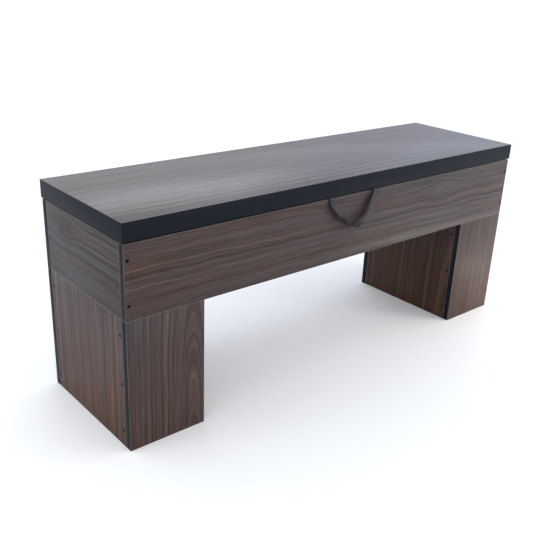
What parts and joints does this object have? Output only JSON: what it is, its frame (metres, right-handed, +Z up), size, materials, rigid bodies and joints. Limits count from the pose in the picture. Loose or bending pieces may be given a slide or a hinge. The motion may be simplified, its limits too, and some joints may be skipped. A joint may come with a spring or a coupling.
{
  "type": "storage bench",
  "caption": "Long low storage bench: a lidded walnut-faced box on hollow box legs, with a black-edged lid on hinges and gas struts and a ribbon pull.",
  "frame": {"origin": "on the floor, under the middle of the bench", "axes": "+X along the seat towards its right end, +Y from the front to the hinged back, +Z up"},
  "size_m": [1.115, 0.3362, 0.45],
  "materials": {
    "walnut": "walnut-figured board with a satin lacquer look",
    "board_core": "raw board, matte",
    "black_band": "satin black edge band",
    "steel": "zinc-plated, satin",
    "black_steel": "black coated, satin",
    "ribbon": "dark grey woven ribbon",
    "rubber": "matte"
  },
  "bodies": {
    "box": {"front_panel": "walnut", "back_panel": "walnut", "left_end_panel": "walnut", "right_end_panel": "walnut", "bottom_panel": "walnut", "left_leg_outer_panel": "walnut", "left_leg_inner_panel": "walnut", "left_leg_front_cover": "walnut", "left_leg_front_rail": "board_core", "left_leg_back_cover": "walnut", "left_leg_back_rail": "board_core", "right_leg_outer_panel": "walnut", "right_leg_inner_panel": "walnut", "right_leg_front_cover": "walnut", "right_leg_front_rail": "board_core", "right_leg_back_cover": "walnut", "right_leg_back_rail": "board_core", "box_screw_left_front_1": "black_steel", "box_screw_left_front_2": "black_steel", "box_screw_left_back_1": "black_steel", "box_screw_left_back_2": "black_steel", "box_screw_right_front_1": "black_steel", "box_screw_right_front_2": "black_steel", "box_screw_right_back_1": "black_steel", "box_screw_right_back_2": "black_steel", "leg_screw_left_front_1": "black_steel", "leg_screw_left_front_2": "black_steel", "leg_screw_left_back_1": "black_steel", "leg_screw_left_back_2": "black_steel", "leg_screw_right_front_1": "black_steel", "leg_screw_right_front_2": "black_steel", "leg_screw_right_back_1": "black_steel", "leg_screw_right_back_2": "black_steel", "left_hinge_fixed_leaf": "steel", "right_hinge_fixed_leaf": "steel", "left_hinge_pin": "steel", "right_hinge_pin": "steel", "left_strut_box_bracket": "black_steel", "right_strut_box_bracket": "black_steel", "left_bumper": "rubber", "right_bumper": "rubber"},
    "lid": {"lid_base_board": "walnut", "lid_top_board": "walnut", "lid_front_band": "black_band", "lid_back_band": "black_band", "lid_left_band": "black_band", "lid_right_band": "black_band", "left_hinge_moving_leaf": "steel", "right_hinge_moving_leaf": "steel", "left_strut_lid_bracket": "black_steel", "right_strut_lid_bracket": "black_steel", "pull_left_tab": "ribbon", "pull_left_clamp": "black_steel", "pull_right_tab": "ribbon", "pull_right_clamp": "black_steel"},
    "ribbon_loop": {"pull_ribbon": "ribbon"},
    "left_strut_tube": {"left_strut_cylinder": "black_steel"},
    "left_strut_rod": {"left_strut_rod": "steel"},
    "right_strut_tube": {"right_strut_cylinder": "black_steel"},
    "right_strut_rod": {"right_strut_rod": "steel"}
  },
  "joints": [
    {"name": "lid_hinge", "type": "hinge", "parent": "box", "child": "lid", "pos_m": [0, 0.1598, 0.41275], "axis": [-1, 0, 0], "range_deg": [0, 80]},
    {"name": "left_strut_swing", "type": "hinge", "parent": "box", "child": "left_strut_tube", "pos_m": [-0.529, 0.1276, 0.38275], "axis": [-1, 0, 0], "range_deg": [0, 79.97]},
    {"name": "left_strut_slide", "type": "slide", "parent": "left_strut_tube", "child": "left_strut_rod", "axis": [0, -0.9921, 0.1251], "range_m": [0, 0.0566]},
    {"name": "right_strut_swing", "type": "hinge", "parent": "box", "child": "right_strut_tube", "pos_m": [0.529, 0.1276, 0.38275], "axis": [-1, 0, 0], "range_deg": [0, 79.97]},
    {"name": "right_strut_slide", "type": "slide", "parent": "right_strut_tube", "child": "right_strut_rod", "axis": [0, -0.9921, 0.1251], "range_m": [0, 0.0566]},
    {"name": "ribbon_swing", "type": "hinge", "parent": "lid", "child": "ribbon_loop", "pos_m": [0, -0.1559, 0.4128], "axis": [-1, 0, 0], "range_deg": [0, 80]}
  ],
  "couplings": [
    {"joint": "left_strut_swing", "follows": "lid_hinge", "ratio": 0.99944},
    {"joint": "left_strut_slide", "follows": "lid_hinge", "m_per_rad": 0.040521},
    {"joint": "right_strut_swing", "follows": "lid_hinge", "ratio": 0.99944},
    {"joint": "right_strut_slide", "follows": "lid_hinge", "m_per_rad": 0.040521}
  ]
}
